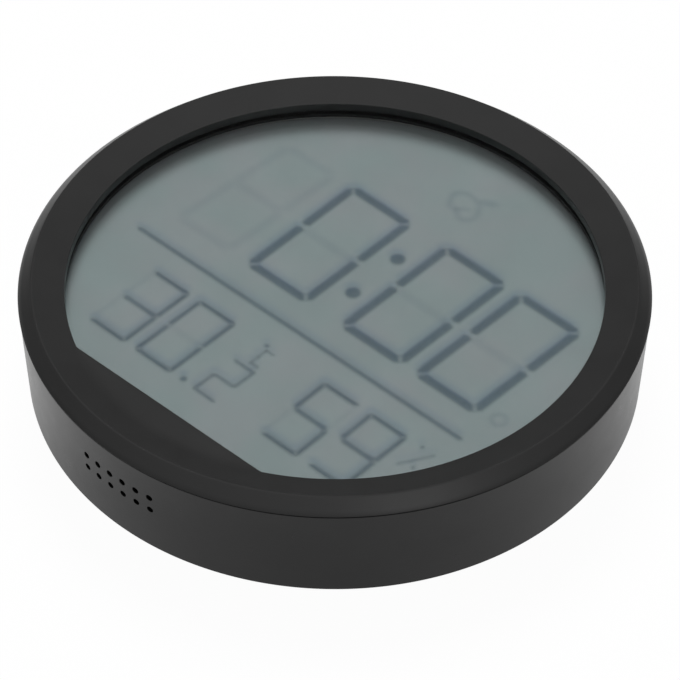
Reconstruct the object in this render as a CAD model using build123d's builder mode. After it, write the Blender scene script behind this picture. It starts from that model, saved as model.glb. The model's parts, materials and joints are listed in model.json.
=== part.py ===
from build123d import *
import math
import os

# Round thermometer hygrometer clock, lying on its back, in millimetres.
# The origin is the centre of the back face, +Z points out of the display and +Y points at 12 o'clock.

# Front ring
window_radius = 65.3
chord_depth = 7.1  # how deep the straight edge at 6 o'clock cuts into the round window
face_width = 7.8  # dished ring between the window and the crest
face_rise = 3.0  # from the window edge up to the crest
chamfer_width = 3.4
window_rise = 0.15  # the window edge lies this much above the foot of the chamfer
window_wall = 2.0
rim_land = 0.15
crest_round = 0.6
land_overlap = 0.25
chord_blend = 4.0
bezel_skin = 2.1
landing_width = 3.1  # flat ring behind the window edge that the lens is stuck to
lip_depth = 2.9
lip_thickness = 1.4

# Rear case
seam_gap = 0.35
rim_overhang = 0.12
wall_draft = 0.48  # how much the wall draws in from the seam to the back
shell_wall = 2.2
back_thickness = 2.2
back_round = 0.6
lip_clearance = 0.28
vent_diameter = 1.7
vent_pitch = 4.0
vent_columns = 6
vent_rows = 2
vent_top_drop = 8.5  # from the seam down to the upper row of vents
vent_turn = 0.6  # degrees, the vents sit slightly round from the middle of the chord

# Lens, display and their holder
adhesive_thickness = 0.15
adhesive_inset = 0.2
lens_thickness = 1.5
lens_margin = 1.5
spacer_height = 1.0
spacer_inset = 0.3
polariser_thickness = 0.2
polariser_margin = 0.7
glass_thickness = 1.1
glass_margin = 1.3
reflector_thickness = 0.3
rear_glass_past_chord = 0.7
glass_ledge = 2.9  # strip of the front glass that carries the contacts
holder_plate = 1.6
holder_rim = 1.1
glass_clearance = 0.15
connector_width = 2.0
connector_length = 46.0
connector_clearance = 0.3

# Main board
board_standoff = 1.1
board_thickness = 1.6
board_half_width = 46.0
component_space = 12.2  # between the back plate and the board
board_edge_gap = 0.9
board_lower_margin = 1.3
board_upper_margin = 2.4
chip_diameter = 14.0
chip_height = 1.6
chip_round = 1.3
controller_y = -22.0
crystal_x = 11.0
buzzer_x = 28.0
crystal_diameter = 2.0
crystal_length = 6.0
capacitor_diameter = 5.0
capacitor_length = 7.0
buzzer_diameter = 12.0
buzzer_height = 5.4
buzzer_hole = 2.0
buzzer_hole_depth = 1.8
switch_side = 6.0
switch_height = 3.8
plunger_diameter = 3.4
plunger_reach = 0.8  # part of the plunger that stands out of the switch
plunger_root = 1.2
plunger_clearance = 0.1
humidity_plate = 10.0
humidity_height = 5.0
humidity_thickness = 0.8
sensor_lead = 0.6
thermistor_diameter = 2.4
sensor_reach = 5.2  # from the edge of the board to the sensors
sensor_spacing = 12.0
sensor_lead_overlap = 2.5

# Fasteners
screw_core = 1.9
screw_head_diameter = 4.2
screw_head_height = 1.8
screw_recess_depth = 1.0
screw_recess_width = 0.7
cross_length_share = 0.6
screw_clearance = 0.35
case_screw_length = 9.0
case_joint_height = 10.0
case_screw_seat = 6.2
holder_screw_length = 6.0
board_screw_bite = 1.2
boss_merge = 0.7
boss_clearance = 0.3
boss_gap = 0.1
holder_boss_angle = 20.0  # degrees from the X axis
board_post_side = 6.0  # from the edges of the board to its posts
board_post_upper = 4.9
board_post_lower = 25.1

# Batteries and their bay
cell_diameter = 10.5
cell_length = 43.5
cell_tip_diameter = 3.8
cell_tip_length = 1.0
cell_clearance = 0.3
cell_round = 0.4
contact_thickness = 0.4
spring_length = 5.4
spring_wire = 0.6
spring_base_diameter = 8.0
spring_tip_diameter = 5.0
spring_turns = 4
bay_wall = 1.4
bay_gap = 1.0  # between the board's edge and the bay
plate_width = 8.0
tab_width = 2.4
tab_reach = 1.4
lead_diameter = 1.3
lead_bend = 3.0
lead_spacing = 2.6
lead_pad_inset = 3.0
door_thickness = 1.6
door_recess = 0.2
door_clearance = 0.3
door_ledge = 1.3
ledge_thickness = 1.3
door_tab_width = 7.0
door_tab_length = 1.5
door_tab_thickness = 0.8
door_tab_spacing = 12.0
door_corner = 2.0
thumb_radius = 6.0
thumb_depth = 1.2
latch_width = 9.0
latch_slit = 0.8
latch_length = 5.0
latch_groove_depth = 0.5

# Back buttons
button_length = 11.0
button_width = 5.5
button_pitch = 17.0
button_recess = 0.3
button_travel = 0.5
button_round = 0.4
button_clearance = 0.3
button_flange = 1.2
button_flange_margin = 1.2
button_stem_diameter = 3.0
button_seat_gap = 0.05
button_row_gap = 13.5  # from the free end of the stand leg to the row of buttons
panel_margin = 2.2
panel_depth = 0.9

# Fold-out stand
stand_margin = 16.7  # from the inside of the side wall to the hinge axis of the stand
stand_axis_z = 3.2
stand_end_drop = 11.0  # from the centre down to the free end of the leg
stand_width = 44.0
stand_thickness = 2.3
stand_barrel_radius = 2.6
stand_clearance = 0.5
stand_window_width = 22.0
stand_window_length = 18.0
stand_corner = 4.0
pin_diameter = 2.0
pin_running_clearance = 0.05
pin_seat_clearance = 0.02
pin_bearing = 3.0  # length of pin held at each side of the recess
recess_wall = 1.4
foot_pad_length = 30.0
foot_pad_depth = 2.0
foot_pad_proud = 0.25
finger_notch_radius = 6.5
finger_notch_depth = 2.4

# Keyhole hanger
keyhole_margin = 19.7  # from the inside of the side wall to the middle of the entry
keyhole_diameter = 8.4
keyhole_slot = 4.4
keyhole_travel = 7.0
keyhole_depth = 5.0  # clear depth behind the back plate for the head of the wall screw
keyhole_wall = 1.4

overrun = 1.0  # how far a cut runs past the face that it opens
same_size = 1e-4  # relative difference below which two sizes are the same

# Radii and offsets worked out from the window outwards
chord_offset = window_radius - chord_depth
crest_radius = window_radius + face_width
rim_radius = crest_radius + chamfer_width
wall_top_radius = rim_radius - rim_overhang
wall_base_radius = wall_top_radius - wall_draft
wall_inner_top = wall_top_radius - shell_wall
wall_inner_base = wall_base_radius - shell_wall
lip_outer = wall_inner_top - lip_clearance
lip_inner = lip_outer - lip_thickness
landing_outer = window_radius + landing_width
lens_radius = window_radius + lens_margin
glass_radius = window_radius + glass_margin
polariser_radius = window_radius + polariser_margin
holder_inner = glass_radius + glass_clearance
holder_outer = holder_inner + holder_rim
boss_inner = lens_radius + boss_clearance
boss_radius = (lip_inner + boss_merge - boss_inner) / 2
boss_circle = boss_inner + boss_radius
board_radius = boss_inner - board_edge_gap

# Heights worked out from the back face upwards
board_bottom = back_thickness + component_space
board_top = board_bottom + board_thickness
holder_bottom = board_top + board_standoff
holder_top = holder_bottom + holder_plate
rear_glass_bottom = holder_top + reflector_thickness
front_glass_bottom = rear_glass_bottom + glass_thickness
front_glass_top = front_glass_bottom + glass_thickness
display_top = front_glass_top + polariser_thickness
lens_bottom = display_top + spacer_height
lens_top = lens_bottom + lens_thickness
landing_z = lens_top + adhesive_thickness
window_z = landing_z + window_wall
seam_z = window_z - window_rise
crest_z = window_z + face_rise
bezel_bottom = seam_z - rim_land
case_top = bezel_bottom - seam_gap
lip_bottom = seam_z - lip_depth

# The skin of the dished face has an even thickness behind the landing
face_slope = face_rise / face_width
core_low_z = window_z + face_slope * landing_width - bezel_skin
core_high_z = window_z + face_slope * (lip_inner - window_radius) - bezel_skin

# Vents
vent_pitch_angle = math.degrees(vent_pitch / wall_top_radius)
vent_inner_radius = wall_inner_base - overrun

# Bosses: four join bezel and rear case, four join bezel and display holder


def mirrored_places(x, y):
    """A place and its mirror images in the other three quarters."""
    return [(-x, -y), (-x, y), (x, -y), (x, y)]


case_boss_reach = boss_circle / math.sqrt(2)
case_boss_places = mirrored_places(case_boss_reach, case_boss_reach)
holder_boss_places = mirrored_places(
    boss_circle * math.cos(math.radians(holder_boss_angle)),
    boss_circle * math.sin(math.radians(holder_boss_angle)),
)
core_radius = screw_core / 2
head_radius = screw_head_diameter / 2
case_core_depth = case_screw_length - (case_joint_height - case_screw_seat) + overrun
holder_core_depth = holder_screw_length - holder_plate + overrun

# Flats of the display at 6 o'clock
rear_glass_flat = -(chord_offset + rear_glass_past_chord)
front_glass_flat = rear_glass_flat - glass_ledge
connector_y = (rear_glass_flat + front_glass_flat) / 2

# Stand and buttons, up from the hinge axis
stand_axis_y = stand_margin - wall_inner_base
stand_end_y = -stand_end_drop
stand_length = stand_end_y - stand_axis_y
button_row_y = stand_end_y + button_row_gap

# Board outline and its posts
board_upper_y = button_row_y + switch_side / 2 + board_upper_margin
board_lower_y = front_glass_flat - board_lower_margin
board_post_x = board_half_width - board_post_side
board_post_places = [
    (-board_post_x, board_upper_y - board_post_upper),
    (board_post_x, board_upper_y - board_post_upper),
    (-board_post_x, board_lower_y + board_post_lower),
    (board_post_x, board_lower_y + board_post_lower),
]

# Battery bay
bay_low_y = board_upper_y + bay_gap + bay_wall
cell_pitch = cell_diameter + cell_clearance
cell_radius = cell_diameter / 2
cell_low_y = bay_low_y + cell_clearance + cell_radius
cell_high_y = cell_low_y + cell_pitch
bay_high_y = cell_high_y + cell_radius + cell_clearance
bay_mid_y = (bay_low_y + bay_high_y) / 2
bay_width = bay_high_y - bay_low_y
bay_length = cell_length + cell_tip_length + spring_length + 2 * contact_thickness
bay_half = bay_length / 2
ledge_z = door_recess + door_thickness + door_recess / 2
ledge_top = ledge_z + ledge_thickness
cell_z = ledge_z + cell_clearance + cell_radius
bay_roof_z = cell_z + cell_radius + cell_clearance
bay_roof_top = bay_roof_z + bay_wall
door_hole_half = bay_half + door_ledge
door_hole_half_width = bay_width / 2 + door_ledge
door_half_width = door_hole_half_width - door_clearance
door_length = 2 * (door_hole_half - door_clearance)
hook_slot_low_z = door_recess + door_thickness - door_tab_thickness - door_recess
hook_slot_top_z = door_recess + math.hypot(door_tab_length, door_thickness) + door_clearance
hook_slot_end_x = -door_hole_half - door_tab_length
hook_slot_x = (hook_slot_end_x - bay_half) / 2
hook_slot_length = -bay_half - hook_slot_end_x
plate_low_z = ledge_top + cell_clearance
plate_mid_z = (plate_low_z + bay_roof_z) / 2
plate_height = bay_roof_z - plate_low_z
lead_pad_y = board_upper_y - lead_pad_inset

# Stand recess
stand_half = stand_width / 2
recess_half = stand_half + stand_clearance
recess_low_y = stand_axis_y - stand_barrel_radius - stand_clearance
recess_high_y = stand_end_y + stand_clearance
stand_top_z = stand_axis_z - stand_barrel_radius + stand_thickness
recess_floor_z = stand_top_z + stand_clearance
barrel_floor_z = stand_axis_z + stand_barrel_radius + stand_clearance
barrel_high_y = stand_axis_y + stand_barrel_radius + stand_clearance
pin_half = recess_half + pin_bearing
pin_radius = pin_diameter / 2
stand_low_z = stand_axis_z - stand_barrel_radius

# Keyhole
keyhole_y = wall_inner_base - keyhole_margin

# Back buttons and switches
button_places = {"mode": -button_pitch, "up": 0.0, "down": button_pitch}
switch_bottom = board_bottom - switch_height
plunger_tip_z = switch_bottom - plunger_reach
button_seat_z = back_thickness + button_seat_gap
panel_length = 2 * button_pitch + button_length + 2 * panel_margin
panel_width = button_width + 2 * panel_margin

os.makedirs("parts", exist_ok=True)


def at_height(z):
    """The horizontal plane at a height above the back face."""
    return Plane.XY.offset(z)


def flat_disc(radius, flat_y):
    """A disc with a straight edge at flat_y on its 6 o'clock side, drawn in the sketch that is open."""
    Circle(radius)
    with Locations((0, flat_y - radius)):
        Rectangle(2 * radius, 2 * radius, mode=Mode.SUBTRACT)


def is_foot_of_land(edge):
    """Whether an edge is the arc where the dished face meets the flat land at 6 o'clock."""
    return (
        edge.geom_type == GeomType.CIRCLE
        and math.isclose(edge.radius, window_radius, rel_tol=same_size)
        and math.isclose(edge.arc_center.Z, window_z, rel_tol=same_size)
        and edge.center().Y < -chord_offset
    )


# Front bezel
with BuildPart() as front_bezel:
    with BuildSketch(Plane.XZ):
        with BuildLine():
            Polyline(
                (rim_radius, bezel_bottom),
                (rim_radius, seam_z),
                (crest_radius, crest_z),
                (window_radius, window_z),
                (window_radius, landing_z),
                (landing_outer, landing_z),
                (landing_outer, core_low_z),
                (lip_inner, core_high_z),
                (lip_inner, lip_bottom),
                (lip_outer, lip_bottom),
                (lip_outer, bezel_bottom),
                close=True,
            )
        make_face()
    revolve(axis=Axis.Z)
    crest_edge = front_bezel.edges().filter_by(GeomType.CIRCLE).group_by(Axis.Z)[-1]
    fillet(crest_edge, radius=crest_round)
    # The flat land beyond the chord
    with BuildSketch(at_height(landing_z)):
        Circle(window_radius + land_overlap)
        with Locations((0, window_radius - chord_offset)):
            Rectangle(2 * landing_outer, 2 * window_radius, mode=Mode.SUBTRACT)
    extrude(amount=window_wall)
    # The land runs softly into the dished face
    fillet(front_bezel.edges().filter_by(is_foot_of_land), radius=chord_blend)
    # Bosses for the case screws and the holder screws
    with BuildSketch(at_height(case_joint_height + boss_gap)):
        with Locations(*case_boss_places):
            Circle(boss_radius)
    extrude(amount=window_z - case_joint_height - boss_gap)
    with BuildSketch(at_height(holder_top)):
        with Locations(*holder_boss_places):
            Circle(boss_radius)
    extrude(amount=window_z - holder_top)
    with BuildSketch(at_height(case_joint_height)):
        with Locations(*case_boss_places):
            Circle(core_radius)
    extrude(amount=case_core_depth, mode=Mode.SUBTRACT)
    with BuildSketch(at_height(holder_top)):
        with Locations(*holder_boss_places):
            Circle(core_radius)
    extrude(amount=holder_core_depth, mode=Mode.SUBTRACT)
front_bezel.part.label = "front_bezel"
export_step(front_bezel.part, "parts/front_bezel.step")

# Adhesive ring that holds the lens behind the bezel
with BuildPart() as lens_adhesive:
    with BuildSketch(at_height(lens_top)):
        Circle(lens_radius)
        with BuildSketch(mode=Mode.SUBTRACT):
            flat_disc(window_radius + adhesive_inset, -(chord_offset + adhesive_inset))
    extrude(amount=adhesive_thickness)
lens_adhesive.part.label = "lens_adhesive"
export_step(lens_adhesive.part, "parts/lens_adhesive.step")

# Clear front lens
with BuildPart() as front_lens:
    with BuildSketch(at_height(lens_bottom)):
        Circle(lens_radius)
    extrude(amount=lens_thickness)
front_lens.part.label = "front_lens"
export_step(front_lens.part, "parts/front_lens.step")

# Frame between the lens and the display
with BuildPart() as display_frame:
    with BuildSketch(at_height(display_top)):
        Circle(holder_outer)
        with BuildSketch(mode=Mode.SUBTRACT):
            flat_disc(window_radius + spacer_inset, -(chord_offset + spacer_inset))
        with Locations(*case_boss_places):
            Circle(boss_radius + boss_clearance, mode=Mode.SUBTRACT)
        with Locations(*holder_boss_places):
            Circle(boss_radius + boss_clearance, mode=Mode.SUBTRACT)
    extrude(amount=spacer_height)
display_frame.part.label = "display_frame"
export_step(display_frame.part, "parts/display_frame.step")

# Display stack, from the front
with BuildPart() as lcd_front_polariser:
    with BuildSketch(at_height(front_glass_top)):
        flat_disc(polariser_radius, rear_glass_flat)
    extrude(amount=polariser_thickness)
lcd_front_polariser.part.label = "lcd_front_polariser"
export_step(lcd_front_polariser.part, "parts/lcd_front_polariser.step")

with BuildPart() as lcd_front_glass:
    with BuildSketch(at_height(front_glass_bottom)):
        flat_disc(glass_radius, front_glass_flat)
    extrude(amount=glass_thickness)
lcd_front_glass.part.label = "lcd_front_glass"
export_step(lcd_front_glass.part, "parts/lcd_front_glass.step")

with BuildPart() as lcd_rear_glass:
    with BuildSketch(at_height(rear_glass_bottom)):
        flat_disc(glass_radius, rear_glass_flat)
    extrude(amount=glass_thickness)
lcd_rear_glass.part.label = "lcd_rear_glass"
export_step(lcd_rear_glass.part, "parts/lcd_rear_glass.step")

with BuildPart() as lcd_reflector:
    with BuildSketch(at_height(holder_top)):
        flat_disc(polariser_radius, rear_glass_flat)
    extrude(amount=reflector_thickness)
lcd_reflector.part.label = "lcd_reflector"
export_step(lcd_reflector.part, "parts/lcd_reflector.step")

# Holder: a tray behind the display with ears for its screws and posts for the board
with BuildPart() as lcd_holder:
    with BuildSketch(at_height(holder_bottom)):
        Circle(holder_outer)
        with Locations(*case_boss_places):
            Circle(boss_radius + boss_clearance, mode=Mode.SUBTRACT)
    extrude(amount=display_top - holder_bottom)
    with BuildSketch(at_height(holder_top)):
        flat_disc(holder_inner, front_glass_flat - glass_clearance)
    extrude(amount=display_top - holder_top, mode=Mode.SUBTRACT)
    with BuildSketch(at_height(holder_top)):
        with Locations(*holder_boss_places):
            Circle(boss_radius + boss_clearance)
    extrude(amount=display_top - holder_top, mode=Mode.SUBTRACT)
    with BuildSketch(at_height(holder_bottom)):
        with Locations(*holder_boss_places):
            Circle(boss_radius)
    extrude(amount=holder_plate)
    # Slot for the elastomer connector
    with BuildSketch(at_height(holder_bottom)):
        with Locations((0, connector_y)):
            Rectangle(connector_length + connector_clearance, connector_width + connector_clearance)
    extrude(amount=holder_plate, mode=Mode.SUBTRACT)
    # Posts that the board stands on
    with BuildSketch(at_height(board_top)):
        with Locations(*board_post_places):
            Circle(head_radius)
    extrude(amount=board_standoff)
    with BuildSketch(at_height(board_top)):
        with Locations(*board_post_places):
            Circle(core_radius)
    extrude(amount=board_standoff + board_screw_bite, mode=Mode.SUBTRACT)
    with BuildSketch(at_height(holder_bottom)):
        with Locations(*holder_boss_places):
            Circle(core_radius + screw_clearance)
    extrude(amount=holder_plate, mode=Mode.SUBTRACT)
lcd_holder.part.label = "lcd_holder"
export_step(lcd_holder.part, "parts/lcd_holder.step")

# Elastomer connector between the board and the ledge of the front glass
with BuildPart() as elastomer_connector:
    with BuildSketch(at_height(board_top)):
        with Locations((0, connector_y)):
            Rectangle(connector_length, connector_width)
    extrude(amount=front_glass_bottom - board_top)
elastomer_connector.part.label = "elastomer_connector"
export_step(elastomer_connector.part, "parts/elastomer_connector.step")

# Rear case: side wall, back plate, battery bay, stand recess and keyhole
with BuildPart() as rear_case:
    with BuildSketch(Plane.XZ):
        with BuildLine():
            Polyline(
                (0, 0),
                (wall_base_radius, 0),
                (wall_top_radius, case_top),
                (wall_inner_top, case_top),
                (wall_inner_base, back_thickness),
                (0, back_thickness),
                close=True,
            )
        make_face()
    revolve(axis=Axis.Z)
    back_edge = rear_case.edges().filter_by(GeomType.CIRCLE).group_by(Axis.Z)[0]
    fillet(back_edge, radius=back_round)
    # Towers for the case screws
    with BuildSketch(at_height(back_thickness)):
        with Locations(*case_boss_places):
            Circle(boss_radius)
    extrude(amount=case_joint_height - back_thickness)
    # Walls of the battery bay, and the thicker plate around its opening
    with BuildSketch(at_height(back_thickness)):
        with Locations((0, bay_mid_y)):
            Rectangle(2 * (door_hole_half + bay_wall), 2 * (door_hole_half_width + bay_wall))
    extrude(amount=ledge_top - back_thickness)
    with BuildSketch(at_height(back_thickness)):
        with Locations((0, bay_mid_y)):
            Rectangle(bay_length + 2 * bay_wall, bay_width + 2 * bay_wall)
    extrude(amount=bay_roof_top - back_thickness)
    # Tray of the stand recess, its higher end and the finger notch
    with BuildSketch(at_height(back_thickness)):
        with Locations((0, (recess_low_y + recess_high_y) / 2)):
            Rectangle(2 * (recess_half + recess_wall), recess_high_y - recess_low_y + 2 * recess_wall)
    extrude(amount=recess_floor_z + recess_wall - back_thickness)
    with BuildSketch(at_height(back_thickness)):
        with Locations((0, (recess_low_y + barrel_high_y) / 2)):
            Rectangle(2 * (pin_half + recess_wall), barrel_high_y - recess_low_y + 2 * recess_wall)
    extrude(amount=barrel_floor_z + recess_wall - back_thickness)
    with BuildSketch(at_height(back_thickness)):
        with Locations((0, recess_high_y)):
            Circle(finger_notch_radius + recess_wall)
    extrude(amount=finger_notch_depth + recess_wall - back_thickness)
    # Pocket behind the keyhole
    with BuildSketch(at_height(back_thickness)):
        with Locations((0, keyhole_y + keyhole_travel / 2)):
            SlotCenterToCenter(keyhole_travel, keyhole_diameter + 2 * keyhole_wall, rotation=90)
    extrude(amount=keyhole_depth + keyhole_wall)
    # Cuts for the case screws
    with BuildSketch(at_height(-overrun)):
        with Locations(*case_boss_places):
            Circle(head_radius + screw_clearance)
    extrude(amount=case_screw_seat + overrun, mode=Mode.SUBTRACT)
    with BuildSketch(at_height(case_screw_seat)):
        with Locations(*case_boss_places):
            Circle(core_radius + screw_clearance)
    extrude(amount=case_joint_height - case_screw_seat, mode=Mode.SUBTRACT)
    # Door opening, bay, hook slots, contact slots and thumb notch
    with BuildSketch(at_height(-overrun)):
        with Locations((0, bay_mid_y)):
            RectangleRounded(2 * door_hole_half, 2 * door_hole_half_width, door_corner)
    extrude(amount=ledge_z + overrun, mode=Mode.SUBTRACT)
    with BuildSketch(at_height(ledge_z)):
        with Locations((0, bay_mid_y)):
            Rectangle(bay_length, bay_width)
    extrude(amount=bay_roof_z - ledge_z, mode=Mode.SUBTRACT)
    with BuildSketch(at_height(hook_slot_low_z)):
        with Locations((hook_slot_x, bay_mid_y)):
            with GridLocations(door_tab_spacing, door_tab_spacing, 1, 2):
                Rectangle(hook_slot_length, door_tab_width + 2 * door_clearance)
    extrude(amount=hook_slot_top_z - hook_slot_low_z, mode=Mode.SUBTRACT)
    with BuildSketch(at_height(cell_z - contact_thickness)):
        with Locations((-bay_half - bay_wall / 2, cell_low_y), (-bay_half - bay_wall / 2, cell_high_y)):
            Rectangle(bay_wall, tab_width + contact_thickness)
    extrude(amount=2 * contact_thickness, mode=Mode.SUBTRACT)
    with BuildSketch(at_height(-overrun)):
        with Locations((door_hole_half, bay_mid_y)):
            Circle(thumb_radius)
    extrude(amount=thumb_depth + overrun, mode=Mode.SUBTRACT)
    # Stand recess, bores for its pin and finger notch
    with BuildSketch(at_height(-overrun)):
        with Locations((0, (recess_low_y + recess_high_y) / 2)):
            Rectangle(2 * recess_half, recess_high_y - recess_low_y)
    extrude(amount=recess_floor_z + overrun, mode=Mode.SUBTRACT)
    with BuildSketch(at_height(recess_floor_z)):
        with Locations((0, (recess_low_y + barrel_high_y) / 2)):
            Rectangle(2 * recess_half, barrel_high_y - recess_low_y)
    extrude(amount=barrel_floor_z - recess_floor_z, mode=Mode.SUBTRACT)
    with BuildSketch(Plane.YZ):
        with Locations((stand_axis_y, stand_axis_z)):
            Circle(pin_radius + pin_seat_clearance)
    extrude(amount=pin_half, both=True, mode=Mode.SUBTRACT)
    with BuildSketch(at_height(-overrun)):
        with Locations((0, recess_high_y)):
            Circle(finger_notch_radius)
    extrude(amount=finger_notch_depth + overrun, mode=Mode.SUBTRACT)
    # Button panel and its openings
    with BuildSketch(at_height(-overrun)):
        with Locations((0, button_row_y)):
            RectangleRounded(panel_length, panel_width, panel_margin)
    extrude(amount=panel_depth + overrun, mode=Mode.SUBTRACT)
    with BuildSketch(at_height(-overrun)):
        with Locations(*[(x, button_row_y) for x in button_places.values()]):
            SlotOverall(button_length + 2 * button_clearance, button_width + 2 * button_clearance)
    extrude(amount=back_thickness + overrun, mode=Mode.SUBTRACT)
    # Keyhole: entry, slot and the room behind for the head of the wall screw
    with BuildSketch(at_height(-overrun)):
        with Locations((0, keyhole_y)):
            Circle(keyhole_diameter / 2)
        with Locations((0, keyhole_y + keyhole_travel / 2)):
            SlotCenterToCenter(keyhole_travel, keyhole_slot, rotation=90)
    extrude(amount=back_thickness + overrun, mode=Mode.SUBTRACT)
    with BuildSketch(at_height(back_thickness)):
        with Locations((0, keyhole_y + keyhole_travel / 2)):
            SlotCenterToCenter(keyhole_travel, keyhole_diameter, rotation=90)
    extrude(amount=keyhole_depth, mode=Mode.SUBTRACT)
    # Vents through the side wall at 6 o'clock
    for row in range(vent_rows):
        for column in range(vent_columns):
            turn = (column - (vent_columns - 1) / 2) * vent_pitch_angle + vent_turn
            towards = Vector(0, -1, 0).rotate(Axis.Z, turn)
            height = seam_z - vent_top_drop - row * vent_pitch
            with BuildSketch(Plane(origin=towards * rim_radius + Vector(0, 0, height), z_dir=towards)):
                Circle(vent_diameter / 2)
            extrude(amount=-(rim_radius - vent_inner_radius), mode=Mode.SUBTRACT)
rear_case.part.label = "rear_case"
export_step(rear_case.part, "parts/rear_case.step")

# Battery door: plate, two hooks at one end and a latch tongue at the other
with BuildPart() as battery_door:
    with BuildSketch(at_height(door_recess)):
        with Locations((0, bay_mid_y)):
            RectangleRounded(door_length, 2 * door_half_width, door_corner - door_clearance)
    extrude(amount=door_thickness)
    with BuildSketch(at_height(door_recess + door_thickness - door_tab_thickness)):
        with Locations((-door_length / 2 - door_tab_length / 2 + door_clearance, bay_mid_y)):
            with GridLocations(door_tab_spacing, door_tab_spacing, 1, 2):
                Rectangle(door_tab_length + 2 * door_clearance, door_tab_width)
    extrude(amount=door_tab_thickness)
    with BuildSketch(at_height(door_recess)):
        with Locations((door_length / 2 - latch_length / 2, bay_mid_y)):
            with GridLocations(latch_width, latch_width, 1, 2):
                Rectangle(latch_length, latch_slit)
    extrude(amount=door_thickness, mode=Mode.SUBTRACT)
    with BuildSketch(at_height(door_recess)):
        with Locations((door_length / 2 - latch_length / 2, bay_mid_y)):
            with GridLocations(2 * latch_slit, 2 * latch_slit, 2, 1):
                Rectangle(latch_slit, latch_width / 2)
    extrude(amount=latch_groove_depth, mode=Mode.SUBTRACT)
battery_door.part.label = "battery_door"
export_step(battery_door.part, "parts/battery_door.step")

# Stand leg, folded into its recess
with BuildPart() as stand_leg:
    with BuildSketch(Plane.YZ):
        with Locations((stand_axis_y, stand_axis_z)):
            Circle(stand_barrel_radius)
        with Locations(((stand_axis_y + stand_end_y) / 2, stand_low_z + stand_thickness / 2)):
            Rectangle(stand_length, stand_thickness)
        with Locations((stand_axis_y, stand_axis_z)):
            Circle(pin_radius + pin_running_clearance, mode=Mode.SUBTRACT)
    extrude(amount=stand_half, both=True)
    free_corners = stand_leg.edges().filter_by(Axis.Z).group_by(Axis.Y)[-1]
    fillet(free_corners, radius=stand_corner)
    with BuildSketch(at_height(stand_low_z)):
        with Locations((0, (stand_axis_y + stand_end_y) / 2)):
            RectangleRounded(stand_window_width, stand_window_length, stand_corner)
    extrude(amount=stand_thickness, mode=Mode.SUBTRACT)
    with BuildSketch(at_height(stand_low_z)):
        with Locations((0, stand_end_y)):
            Rectangle(foot_pad_length, 2 * foot_pad_depth)
    extrude(amount=stand_thickness, mode=Mode.SUBTRACT)
stand_leg.part.label = "stand_leg"
export_step(stand_leg.part, "parts/stand_leg.step")

# Rubber strip in the free end of the leg
with BuildPart() as stand_foot_pad:
    with BuildSketch(at_height(stand_low_z)):
        with Locations((0, stand_end_y - (foot_pad_depth - foot_pad_proud) / 2)):
            Rectangle(foot_pad_length, foot_pad_depth + foot_pad_proud)
    extrude(amount=stand_thickness)
stand_foot_pad.part.label = "stand_foot_pad"
export_step(stand_foot_pad.part, "parts/stand_foot_pad.step")

# Steel pin that the leg turns on
with BuildPart() as stand_pin:
    with BuildSketch(Plane.YZ):
        with Locations((stand_axis_y, stand_axis_z)):
            Circle(pin_radius)
    extrude(amount=pin_half - pin_seat_clearance, both=True)
stand_pin.part.label = "stand_pin"
export_step(stand_pin.part, "parts/stand_pin.step")

# Main board
with BuildPart() as main_board:
    with BuildSketch(at_height(board_bottom)):
        Circle(board_radius)
        with Locations((0, (board_lower_y + board_upper_y) / 2)):
            Rectangle(2 * board_half_width, board_upper_y - board_lower_y, mode=Mode.INTERSECT)
        with Locations(*board_post_places):
            Circle(core_radius + screw_clearance, mode=Mode.SUBTRACT)
    extrude(amount=board_thickness)
main_board.part.label = "main_board"
export_step(main_board.part, "parts/main_board.step")

# Black resin drop over the controller
with BuildPart() as controller_chip:
    with BuildSketch(at_height(board_bottom - chip_height)):
        with Locations((0, controller_y)):
            Circle(chip_diameter / 2)
    extrude(amount=chip_height)
    fillet(controller_chip.edges().group_by(Axis.Z)[0], radius=chip_round)
controller_chip.part.label = "controller_chip"
export_step(controller_chip.part, "parts/controller_chip.step")

# Quartz crystal in its can, lying under the board
with BuildPart() as quartz_crystal:
    with BuildSketch(Plane.YZ.offset(crystal_x)):
        with Locations((controller_y, board_bottom - crystal_diameter / 2)):
            Circle(crystal_diameter / 2)
    extrude(amount=crystal_length)
quartz_crystal.part.label = "quartz_crystal"
export_step(quartz_crystal.part, "parts/quartz_crystal.step")

# Electrolytic capacitor, lying under the board
with BuildPart() as capacitor:
    with BuildSketch(Plane.YZ.offset(-crystal_x - capacitor_length)):
        with Locations((controller_y, board_bottom - capacitor_diameter / 2)):
            Circle(capacitor_diameter / 2)
    extrude(amount=capacitor_length)
capacitor.part.label = "capacitor"
export_step(capacitor.part, "parts/capacitor.step")

# Buzzer for the alarm
with BuildPart() as buzzer:
    with BuildSketch(at_height(board_bottom)):
        with Locations((buzzer_x, controller_y)):
            Circle(buzzer_diameter / 2)
    extrude(amount=-buzzer_height)
    with BuildSketch(at_height(board_bottom - buzzer_height)):
        with Locations((buzzer_x, controller_y)):
            Circle(buzzer_hole / 2)
    extrude(amount=buzzer_hole_depth, mode=Mode.SUBTRACT)
buzzer.part.label = "buzzer"
export_step(buzzer.part, "parts/buzzer.step")

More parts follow.
